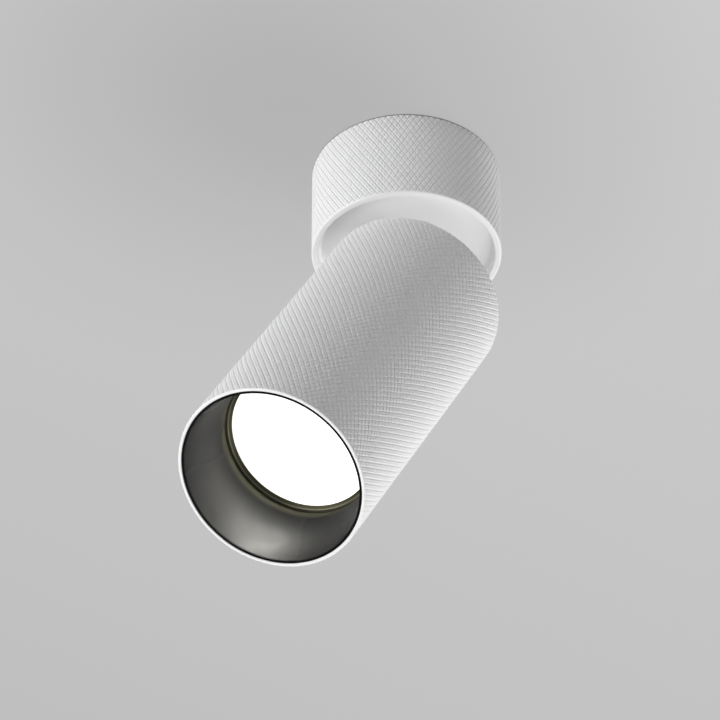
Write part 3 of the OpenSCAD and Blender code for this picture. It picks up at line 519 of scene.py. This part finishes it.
def coat_texture(finish):
    """Gives the coat its roughness, and returns its faint cloudiness and its soft grain of 0.3 mm."""
    patches, grain = finish.noise(60, 2), finish.noise(2600, 2)
    finish.rough(grain, 0.42, 0.56)
    return patches, grain


def powder_coat(name, paint):
    """Fine textured powder coat: the cloudiness and the grain vary its tone, and the grain stands in its bump."""
    finish = Finish(name, {"IOR": 1.48})
    patches, grain = coat_texture(finish)
    finish.set("Base Color", finish.mixed(patches * 0.5 + grain * 0.5, shade(paint, 1.01), shade(paint, 0.955)))
    finish.bump(grain, 0.00002, 0.35)
    return finish.material


def knurled_coat(name, paint, starts, low, pitch, relief, groove_shade, turn=0.0, centre=(0, 0, 0)):
    """Powder coat over a knurl, with painted shade and painted highlight. With u and v as in knurled_shell, the ripple
    cos 4 pi u + cos 4 pi v is 2 over the crossings of the grooves and the middle of each diamond, which are lower than
    the diamonds' edges and carry painted shade, while the edges carry painted highlight. relief is the ripple's
    strength in the bump, and the argument after it is the strength of the painted shade in the grooves, which leaves
    the rest a little lighter. Inside the piece the coat is smooth. turn and centre bring a tilted piece's axis back to
    Z."""
    finish = Finish(name, {"IOR": 1.48})
    moved = -(Matrix.Rotation(turn, 3, "X") @ Vector(centre))
    place = finish.node("ShaderNodeMapping", None,
                        {"Vector": finish.place, "Location": moved, "Rotation": (turn, 0, 0)})
    x, y, z = finish.parts(place.outputs[0])
    around, along = finish.maths("ARCTAN2", y, x) * (2 * starts), (z - low) * (4 * math.pi / pitch)
    groove, knurled = finish.attribute("groove"), finish.attribute("knurled")
    ripple = (finish.maths("COSINE", around + along, 0) + finish.maths("COSINE", around - along, 0)) * knurled
    patches, grain = coat_texture(finish)
    # Painted shade in the grooves, their crossings and the diamonds' middles, and painted highlight on the diamonds'
    # edges; the patches and grain are the coat's own random tone
    tone = patches * 0.15 + grain * 0.15 + (groove - 0.3) * groove_shade + ripple * 0.08 + 0.28
    finish.set("Base Color", finish.mixed(tone, shade(paint, 1.06), shade(paint, 0.84)))
    finish.bump(grain * 0.35 - ripple * relief, 0.00002)
    return finish.material


def plated_steel(name, steel):
    """Zinc plate: rolled streaks along X, which also make its bump, and cloudy warm and cool patches."""
    finish = Finish(name, {"Metallic": 1.0})
    streaks, clouds = finish.noise(900, 3, (0.05, 1, 1)), finish.noise(220, 3)
    warm = (steel[0] * 1.06, steel[1] * 1.04, steel[2] * 0.98)
    finish.set("Base Color", finish.mixed(clouds, shade(steel, 0.92), warm))
    finish.rough(streaks * 0.6 + clouds * 0.4, 0.26, 0.44)
    finish.bump(streaks, 0.00001, 0.3)
    return finish.material


def machined_brass(name, brass):
    """Brass with fine turning marks about Z and a slight tarnish."""
    finish = Finish(name, {"Metallic": 1.0})
    marks = finish.node("ShaderNodeTexWave", {"wave_type": "RINGS", "rings_direction": "Z"},
                        {"Vector": finish.place, "Scale": 900.0, "Distortion": 1.5, "Detail": 1.0})
    tarnish = finish.noise(300, 3)
    finish.set("Base Color", finish.mixed(tarnish, shade(brass, 1.05), shade(brass, 0.8)))
    finish.rough(tarnish, 0.22, 0.4)
    finish.bump(Value(finish, marks.outputs["Fac"]), 0.000008, 0.4)
    return finish.material


def moulded(name, base, low, high, grain_scale, depth, constants=None):
    """Moulded or fired material: cloudy colour, roughness from low to high, and a grain of its own depth."""
    finish = Finish(name, constants or {})
    clouds, grain = finish.noise(140, 3), finish.noise(grain_scale, 3)
    finish.set("Base Color", finish.mixed(clouds, shade(base, 1.03), shade(base, 0.92)))
    finish.rough(grain, low, high)
    finish.bump(grain, depth, 0.5)
    return finish.material


def satin_baffle(name, base, edge, ring, tilt):
    """Dark satin coat on a spun cone: faint rings square to the head's axis and a cloudy sheen. Its tone also holds
    painted shade that darkens the cone deeper in, painted warm light of the lens on the cone's inner end and brighter
    still in the groove, an olive cast of painted lens light on the dark ring that holds the lamp, and a painted shadow
    line at the mouth. Depth runs along the head's axis from the tilt axis to the mouth."""
    finish = Finish(name, {"Metallic": 0.65, "Specular Tint": (0.0, 0.0, 0.0, 1.0)})
    axis = (0.0, -math.sin(tilt), -math.cos(tilt))
    depth = finish.measure("DOT_PRODUCT", finish.place, axis) - PIVOT.dot(Vector(axis))
    rings = finish.node("ShaderNodeTexNoise", {"noise_dimensions": "1D"},
                        {"W": depth, "Scale": 5200.0, "Detail": 2.0})
    clouds = finish.noise(160, 2)
    tone = finish.mixed(clouds, shade(base, 0.9), shade(base, 1.15))
    # Painted shade deeper in the cone, painted lens light at its inner end and in the groove, the ring with painted
    # lens light, and a painted shadow line at the mouth
    for change, tint in ((CONE_PAINTED_SHADE, shade(base, 0.55)), (CONE_PAINTED_LENS_LIGHT, edge), (GROOVE_PAINTED_LIGHT, shade(edge, 2.1)),
                         (LAMP_RING_AND_LENS_LIGHT, ring), (MOUTH_PAINTED_SHADOW, shade(base, 0.2))):
        tone = finish.mixed(finish.band(depth, *change), tone, tint)
    finish.set("Base Color", tone)
    finish.rough(clouds, 0.35, 0.41)
    finish.bump(Value(finish, rings.outputs["Fac"]), 0.000006, 0.35)
    return finish.material


def lit_lens(name, glow, rim_glow, source, tilt):
    """The lamp's frosted lens, lit: its source shines through as a long spot beside the middle, the rest glows evenly,
    and the rim is dimmer and warmer. The shader's strength is the source's, so the other two are divided by it."""
    finish = Finish(name, {"Base Color": (0.9, 0.9, 0.88, 1), "Roughness": 0.5, "Emission Strength": source})
    low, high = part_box("lamp_lens")
    middle, lean = (low + high) / 2, Matrix.Rotation(-tilt, 3, "X")
    turn = (lean @ Matrix.Rotation(SOURCE_TURN, 3, "Z")).to_euler()
    spot = finish.node("ShaderNodeMapping", {"vector_type": "TEXTURE"}, {
        "Vector": finish.place, "Location": middle + lean @ SOURCE_ASIDE, "Rotation": turn, "Scale": SOURCE_RADII})
    near, out = finish.measure("LENGTH", spot.outputs[0]), finish.measure("DISTANCE", finish.place, tuple(middle))
    even = finish.mixed(finish.band(near, 0.1, 1.0), glow, shade(glow, 1 / source))
    finish.set("Emission Color", finish.mixed(finish.band(out, *LENS_RIM), even, shade(rim_glow, 1 / source)))
    return finish.material


def woven_sleeve(name, base):
    """Braided glass fibre: the braid is in the mesh, and this adds single yarns and a dry sheen."""
    finish = Finish(name, {"Sheen Weight": 0.25, "Sheen Roughness": 0.5})
    yarns, clouds = finish.noise(4200, 2), finish.noise(500, 2)
    finish.set("Base Color", finish.mixed(clouds, shade(base, 1.05), shade(base, 0.86)))
    finish.rough(yarns, 0.7, 0.9)
    finish.bump(yarns, 0.00004, 0.6)
    return finish.material


def wire_insulation(name, base, stripe=None):
    """Extruded insulation: a soft gloss, slight unevenness and, on an earth lead, a stripe along it."""
    finish = Finish(name, {"Coat Roughness": 0.2})
    waves = finish.noise(700, 2)
    if stripe is None:
        finish.set("Base Color", finish.mixed(waves, shade(base, 1.1), shade(base, 0.85)))
    else:
        half_round = finish.band(finish.attribute("around"), 0.48, 0.52)
        finish.set("Base Color", finish.mixed(half_round, base, stripe))
    finish.rough(waves, 0.3, 0.42)
    finish.set("Coat Weight", finish.band(waves, 0.2, 0.8, 0.1, 0.3))
    finish.bump(waves, 0.00002, 0.3)
    return finish.material


def ceiling_paint(name, stage, hole):
    """Matt paint, clear from above. What the camera sees is mostly an even tone of its own, with painted light that
    slopes along X and Y and painted shade beside the base, and a share of real light and shadow. At the base's edge
    all of it is real."""
    finish = Finish(name, {"Base Color": (*stage.ceiling, 1), "Roughness": 0.9, "Specular IOR Level": 0.2})
    far, beside = finish.measure("LENGTH", finish.place), finish.measure("DISTANCE", finish.place, PAINTED_SHADE_PLACE)
    x, y, _ = finish.parts(finish.place)
    # Painted light: the tone slopes along X and Y as the light falls off, and painted shade darkens it beside the base
    light_slope = (x * stage.across + y * stage.along) * finish.band(far, *LIGHT_SLOPE_ENDS, 1.0, 0.0)
    tone = light_slope + stage.backdrop[0] - finish.band(beside, 0.0, PAINTED_SHADE_RADIUS, stage.shade, 0.0)
    glow = finish.node("ShaderNodeEmission", None, {"Color": finish.mixed(tone, (0, 0, 0), (1, 1, 1))})
    own = finish.in_sight() * finish.band(far, *SHADOW_ENDS, 1 - stage.shadow, 1.0)
    own = own * finish.band(far, hole + TONE_STARTS[0], hole + TONE_STARTS[1])
    back = finish.node("ShaderNodeNewGeometry").outputs["Backfacing"]
    clear = finish.node("ShaderNodeBsdfTransparent")
    look = finish.mixed_shaders(back, finish.mixed_shaders(own, finish.shader, glow), clear)
    finish.feed(finish.tree.nodes["Material Output"].inputs["Surface"], look.outputs[0])
    return finish.material


def dress(piece, material):
    piece.data.materials.clear()
    piece.data.materials.append(material)


# Pieces

class SPOT_OT_base_cup(Operator):
    """Make the knurled base cup with its web and bayonet lugs"""
    bl_idname = "spot.base_cup"
    bl_label = "Base cup"

    def execute(self, context):
        base, knurl = context.scene.spot_base, context.scene.spot_knurl
        inner = base.radius - base.wall
        low, high = -base.height + base.rim_round, -base.shadow_h
        # The knurl's own edge is the rounding's start at 0 degrees
        rim = quarter(base.radius - base.rim_round, low, base.rim_round, -18, -90, 5)
        soft = quarter(inner + base.inner_round, -base.height + base.inner_round, base.inner_round, -90, -180, 4)
        fillet = quarter(inner - base.fillet, -base.floor - base.fillet, base.fillet, 0, 90, 9)
        profile = np.concatenate([
            np.column_stack([rim, [0.6, 0.3, 0.1, 0, 0]]),
            [[rim[-1, 0] - base.rim_hold, -base.height, 0], [soft[0, 0] + base.rim_hold, -base.height, 0]],
            np.column_stack([soft, np.zeros(len(soft))]),
            np.column_stack([fillet, np.zeros(len(fillet))]),
            [[base.pocket + base.chamfer, -base.floor, 0], [base.pocket, -base.floor + base.chamfer, 0],
             [base.pocket, -base.web_low, 0], [base.web_bore, -base.web_low, 0], [base.web_bore, -base.web_top, 0],
             [inner, -base.web_top, 0], [inner, 0, 0], [base.radius - base.shadow_in, 0, 0],
             [base.radius - base.shadow_in, high, 0]],
        ])
        points, triangles, attributes = knurled_shell(knurl.base_starts, knurl.base_rows, base.radius, low, high,
                                                      knurl.depth, knurl.flank, profile)
        lug_in, lug_out, lug_high = inner - base.lug_reach, inner + base.wall / 2, base.lug_thick - base.lug_low
        lug = np.array([[lug_in, -base.lug_low], [lug_out, -base.lug_low], [lug_out, lug_high], [lug_in, lug_high]])
        lugs = [arc_block(lug, a - base.lug_arc / 2, a + base.lug_arc / 2, 25) for a in (math.pi / 2, 3 * math.pi / 2)]
        points, triangles = joined((points, triangles), *lugs)
        attributes = {key: np.pad(values, (0, len(points) - len(values))) for key, values in attributes.items()}
        cup = solid("base_cup_knurled", points, triangles, attributes)
        dress(cup, knurled_coat("knurled_paint_base", context.scene.spot_colours.paint, knurl.base_starts, low,
                                2 * (high - low) / knurl.base_rows, knurl.base_relief, knurl.base_groove_shade))
        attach(cup, "base")
        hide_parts("base_cup")
        return {"FINISHED"}


class SPOT_OT_head_tube(Operator):
    """Make the knurled tube of the head"""
    bl_idname = "spot.head_tube"
    bl_label = "Head tube"

    def execute(self, context):
        head, knurl = context.scene.spot_head, context.scene.spot_knurl
        mouth = head.back - head.span
        low = mouth + head.lip_round
        lip_r, inner = head.radius - head.lip_wall, head.radius - head.wall
        # The knurl's own edge is the rounding's start at 0 degrees
        edge = quarter(head.radius - head.lip_round, low, head.lip_round, -22, -90, 4)
        soft = quarter(lip_r + head.inner_round, mouth + head.inner_round, head.inner_round, -90, -180, 3)
        profile = np.concatenate([
            np.column_stack([edge, [0.5, 0.2, 0, 0]]),
            np.column_stack([soft, np.zeros(len(soft))]),
            [[lip_r, mouth + head.seat, 0], [inner, mouth + head.seat, 0], [inner, head.back, 0]],
        ])
        points, triangles, attributes = knurled_shell(knurl.head_starts, knurl.head_rows, head.radius, low, head.back,
                                                      knurl.depth, knurl.flank, profile)
        tube = solid("head_tube_knurled", in_head(points, head.tilt), triangles, attributes)
        dress(tube, knurled_coat("knurled_paint_head", context.scene.spot_colours.paint, knurl.head_starts, low,
                                 2 * (head.back - low) / knurl.head_rows, knurl.head_relief, knurl.head_groove_shade,
                                 head.tilt, PIVOT))
        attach(tube, "head")
        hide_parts("head_tube")
        return {"FINISHED"}


class SPOT_OT_leads(Operator):
    """Make the five insulated leads"""
    bl_idname = "spot.leads"
    bl_label = "Leads"

    def execute(self, context):
        leads, colours, tilt = context.scene.spot_leads, context.scene.spot_colours, context.scene.spot_head.tilt
        # Each lead's body, slot, a direction that its route never runs along, and the route's knots in mm from the
        # ceiling's middle, or for the head's leads from the tilt axis with the head straight down
        y, x_z = (0, 1, 0), (1, 0, 1)
        routes = {
            "live_lead": ("base", "brown_pvc", y, [
                (15.5, -5, -16.4), (12.5, -5, -16.4), (9.5, -4.6, -15.4), (6, -3, -12), (2.55, -1.53, -12.3),
                (0, -0.87, -14.7), (0, -0.87, -18.3)]),
            "neutral_lead": ("base", "blue_pvc", y, [
                (15.5, 0, -16.4), (12.5, 0, -16.4), (9.5, 0.6, -15.4), (6, 1.6, -12), (2.55, 1.275, -12.3),
                (0, 0.87, -14.7), (0, 0.87, -18.3)]),
            "earth_lead": ("base", "green_pvc", x_z, [
                (15.5, 5, -16.4), (12.5, 5, -16.4), (10.4, 5.6, -17), (10, 8, -20), (10, 9.2, -22.55),
                (10, 10.2, -22.55), (10, 12.6, -22.55)]),
            "head_live_lead": ("head", "brown_pvc", y, [
                (-0.87, 0, -11.9), (-0.87, 0, -14.9), (-1.6, 0, -18.2), (-3.2, 0, -22.05), (-3.5, 0, -24.9),
                (-3.5, 0, -28.7)]),
            "head_neutral_lead": ("head", "blue_pvc", y, [
                (0.87, 0, -11.9), (0.87, 0, -14.9), (1.6, 0, -18.2), (3.2, 0, -22.05), (3.5, 0, -24.9),
                (3.5, 0, -28.7)]),
        }
        insulation = {
            "brown_pvc": wire_insulation("lead_brown", colours.brown),
            "blue_pvc": wire_insulation("lead_blue", colours.blue),
            "green_pvc": wire_insulation("lead_earth", colours.green, colours.stripe),
        }
        for node, (body, slot, side, knots) in routes.items():
            path = smooth_path(knots, LEAD_STEPS) / 1000
            points, triangles = round_tube(path, leads.radius, side, LEAD_COLUMNS)
            around = np.append(np.tile(np.arange(LEAD_COLUMNS) / LEAD_COLUMNS, len(path)), [0, 0])
            if body == "head":
                points = in_head(points, tilt)
            lead = solid(node + "_insulated", points, triangles, {"around": around})
            dress(lead, insulation[slot])
            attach(lead, body)
            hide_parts(node)
        return {"FINISHED"}


class SPOT_OT_sleeves(Operator):
    """Make the two lengths of woven sleeve round the leads"""
    bl_idname = "spot.sleeves"
    bl_label = "Woven sleeves"

    def execute(self, context):
        leads, tilt = context.scene.spot_leads, context.scene.spot_head.tilt
        radius, bore = leads.sleeve, leads.sleeve_bore
        finish = woven_sleeve("woven_sleeving", context.scene.spot_colours.sleeving)

        def braided(low, high):
            z = np.arange(low, high, BRAID_STEP)
            return np.column_stack([np.full(len(z), radius), z, np.ones(len(z))])

        # The neck's length ends in a half ball on the tilt axis
        end, top = quarter(0, 0, radius, -88, -4, 18), -PIVOT.z - NECK_SLEEVE_TOP
        neck = np.concatenate([
            np.column_stack([end, np.ones(len(end))]), braided(0, top - SLEEVE_HEM),
            [[radius, top, 0.3], [bore, top, 0], [bore, 0, 0], [SLEEVE_EYE, 0, 0]],
        ])
        points = sleeve_skin(neck)
        rows = np.arange(len(points)).reshape(len(neck), -1)
        closing = fans(rows[0], rows[-1], len(points), len(points) + 1)
        points = np.concatenate([points, [[0, 0, -radius], [0, 0, 0]]])
        piece = solid("neck_sleeve_woven", points + np.array(PIVOT), np.concatenate([strips(rows), closing]))
        dress(piece, finish)
        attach(piece, "swivel")
        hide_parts("neck_sleeve")

        # The head's length starts in a cup round it: the arc runs from the bore to the outside
        cup = quarter(0, 0, leads.cup, -46, -29.7, 5)
        head = np.concatenate([
            [[bore, -HEAD_SLEEVE_END, 0], [radius, -HEAD_SLEEVE_END, 0.3]],
            braided(SLEEVE_HEM - HEAD_SLEEVE_END, cup[-1, 1]), np.column_stack([cup[::-1], np.zeros(len(cup))]),
        ])
        points = sleeve_skin(head)
        rows = np.arange(len(points)).reshape(len(head), -1)
        piece = solid("head_sleeve_woven", in_head(points, tilt), strips(np.concatenate([rows, rows[:1]])))
        dress(piece, finish)
        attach(piece, "head")
        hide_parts("head_sleeve")
        return {"FINISHED"}


def soft_light(name, power):
    """A square light that faces the target, from its own direction."""
    way = Vector(LIGHTS[name])
    data = bpy.data.lights.new(name + "_light", "AREA")
    data.energy, data.size = power, LIGHT_SIDE
    light = bpy.data.objects.new(name + "_light", data)
    light.location = LIGHT_TARGET + way.normalized() * LIGHT_DISTANCE
    light.rotation_euler = way.to_track_quat("Z", "Y").to_euler()
    return light


def studio_world(name, stage):
    """Even light from all round, and the backdrop's grey for whatever the camera sees of it."""
    world = bpy.data.worlds.new(name)
    world.use_nodes = True
    nodes = Nodes(world.node_tree)
    fill = nodes.tree.nodes["Background"]
    nodes.feed(fill.inputs["Color"], (1, 1, 1, 1))
    nodes.feed(fill.inputs["Strength"], stage.fill)
    grey = nodes.node("ShaderNodeBackground", None, {"Color": (*stage.backdrop, 1)})
    look = nodes.mixed_shaders(nodes.in_sight(), fill, grey)
    nodes.feed(nodes.tree.nodes["World Output"].inputs["Surface"], look.outputs[0])
    return world


def photo_camera(name, focal):
    """A camera at the photograph's place, turned so that its right and up are the photograph's."""
    camera = bpy.data.objects.new(name, bpy.data.cameras.new(name))
    camera.data.lens, camera.data.sensor_width = focal, 36
    turn = Matrix((CAMERA_RIGHT, CAMERA_UP, CAMERA_RIGHT.cross(CAMERA_UP))).transposed()
    camera.matrix_world = Matrix.Translation(CAMERA_PLACE) @ turn.to_4x4()
    return camera


class SPOT_OT_stage(Operator):
    """Make the ceiling, the soft lights and the camera"""
    bl_idname = "spot.stage"
    bl_label = "Stage"

    def execute(self, context):
        scene, stage = context.scene, context.scene.spot_stage
        hole = scene.spot_base.radius - HOLE_INSET
        points, triangles = flat_ring(np.concatenate([np.linspace(hole, CEILING_NEAR, 24),
                                                      np.geomspace(*CEILING_FAR, 16)]))
        mesh = bpy.data.meshes.new("ceiling")
        mesh.from_pydata(points, [], triangles)
        mesh.materials.append(ceiling_paint("ceiling_paint", stage, hole))
        ceiling = bpy.data.objects.new("ceiling", mesh)
        scene.collection.objects.link(ceiling)

        for name in LIGHTS:
            scene.collection.objects.link(soft_light(name, getattr(stage, name)))
        scene.world = studio_world("studio", stage)
        scene.camera = photo_camera("camera", stage.focal)
        scene.collection.objects.link(scene.camera)
        scene.view_settings.view_transform = "Standard"
        return {"FINISHED"}


class SPOT_OT_finishes(Operator):
    """Give every carried-over solid its finish"""
    bl_idname = "spot.finishes"
    bl_label = "Finishes"

    def execute(self, context):
        colours, tilt = context.scene.spot_colours, context.scene.spot_head.tilt
        finishes = {
            "white_paint": powder_coat("smooth_paint", colours.paint),
            "zinc_plated_steel": plated_steel("zinc_plated_steel", colours.steel),
            "brass": machined_brass("machined_brass", colours.brass),
            "black_rubber": moulded("black_rubber", colours.rubber, 0.6, 0.8, 1500, 0.00003),
            "white_nylon": moulded("white_nylon", colours.nylon, 0.38, 0.52, 900, 0.00001,
                                   {"Subsurface Weight": 0.05, "Subsurface Radius": (0.002, 0.002, 0.001)}),
            "lamp_plastic": moulded("lamp_plastic", colours.lamp, 0.4, 0.55, 1300, 0.00001),
            "diffuser": lit_lens("lit_lens", colours.glow, colours.rim_glow, colours.source, tilt),
            "holder_ceramic": moulded("holder_ceramic", colours.ceramic, 0.5, 0.75, 700, 0.00003),
            "black_satin": satin_baffle("satin_baffle", colours.baffle, colours.edge, colours.ring, tilt),
            "glass_fibre_sleeve": woven_sleeve("woven_sleeve", colours.sleeving),
            "brown_pvc": wire_insulation("brown_insulation", colours.brown),
            "blue_pvc": wire_insulation("blue_insulation", colours.blue),
            "green_pvc": wire_insulation("green_insulation", colours.green),
        }
        for part in frame["record"]["subparts"]:
            dress(frame["nodes"][part["node"]], finishes[part["material_slot"]])
        return {"FINISHED"}


class SPOT_PT_panel(Panel):
    """The spotlight's pieces and sizes in the sidebar"""
    bl_idname = "SPOT_PT_panel"
    bl_label = "Ceiling spotlight"
    bl_space_type = "VIEW_3D"
    bl_region_type = "UI"
    bl_category = "Spotlight"

    def draw(self, context):
        for operator in OPERATORS:
            self.layout.operator(operator.bl_idname)
        for name in GROUPS:
            box = self.layout.box()
            for key in GROUPS[name].__annotations__:
                box.prop(getattr(context.scene, name), key)


GROUPS = {"spot_knurl": SpotKnurl, "spot_base": SpotBase, "spot_head": SpotHead, "spot_leads": SpotLeads,
          "spot_colours": SpotColours, "spot_stage": SpotStage}
OPERATORS = (SPOT_OT_stage, SPOT_OT_finishes, SPOT_OT_base_cup, SPOT_OT_head_tube, SPOT_OT_leads, SPOT_OT_sleeves)


def register():
    for made in (*GROUPS.values(), *OPERATORS, SPOT_PT_panel):
        bpy.utils.register_class(made)
    for name, group in GROUPS.items():
        setattr(bpy.types.Scene, name, PointerProperty(type=group))


def unregister():
    for name in GROUPS:
        delattr(bpy.types.Scene, name)
    for made in (SPOT_PT_panel, *reversed(OPERATORS), *reversed(GROUPS.values())):
        bpy.utils.unregister_class(made)


def main():
    register()
    bpy.ops.spot.stage()
    bpy.ops.spot.finishes()
    bpy.ops.spot.base_cup()
    bpy.ops.spot.head_tube()
    bpy.ops.spot.leads()
    bpy.ops.spot.sleeves()


if __name__ == "__main__":
    main()
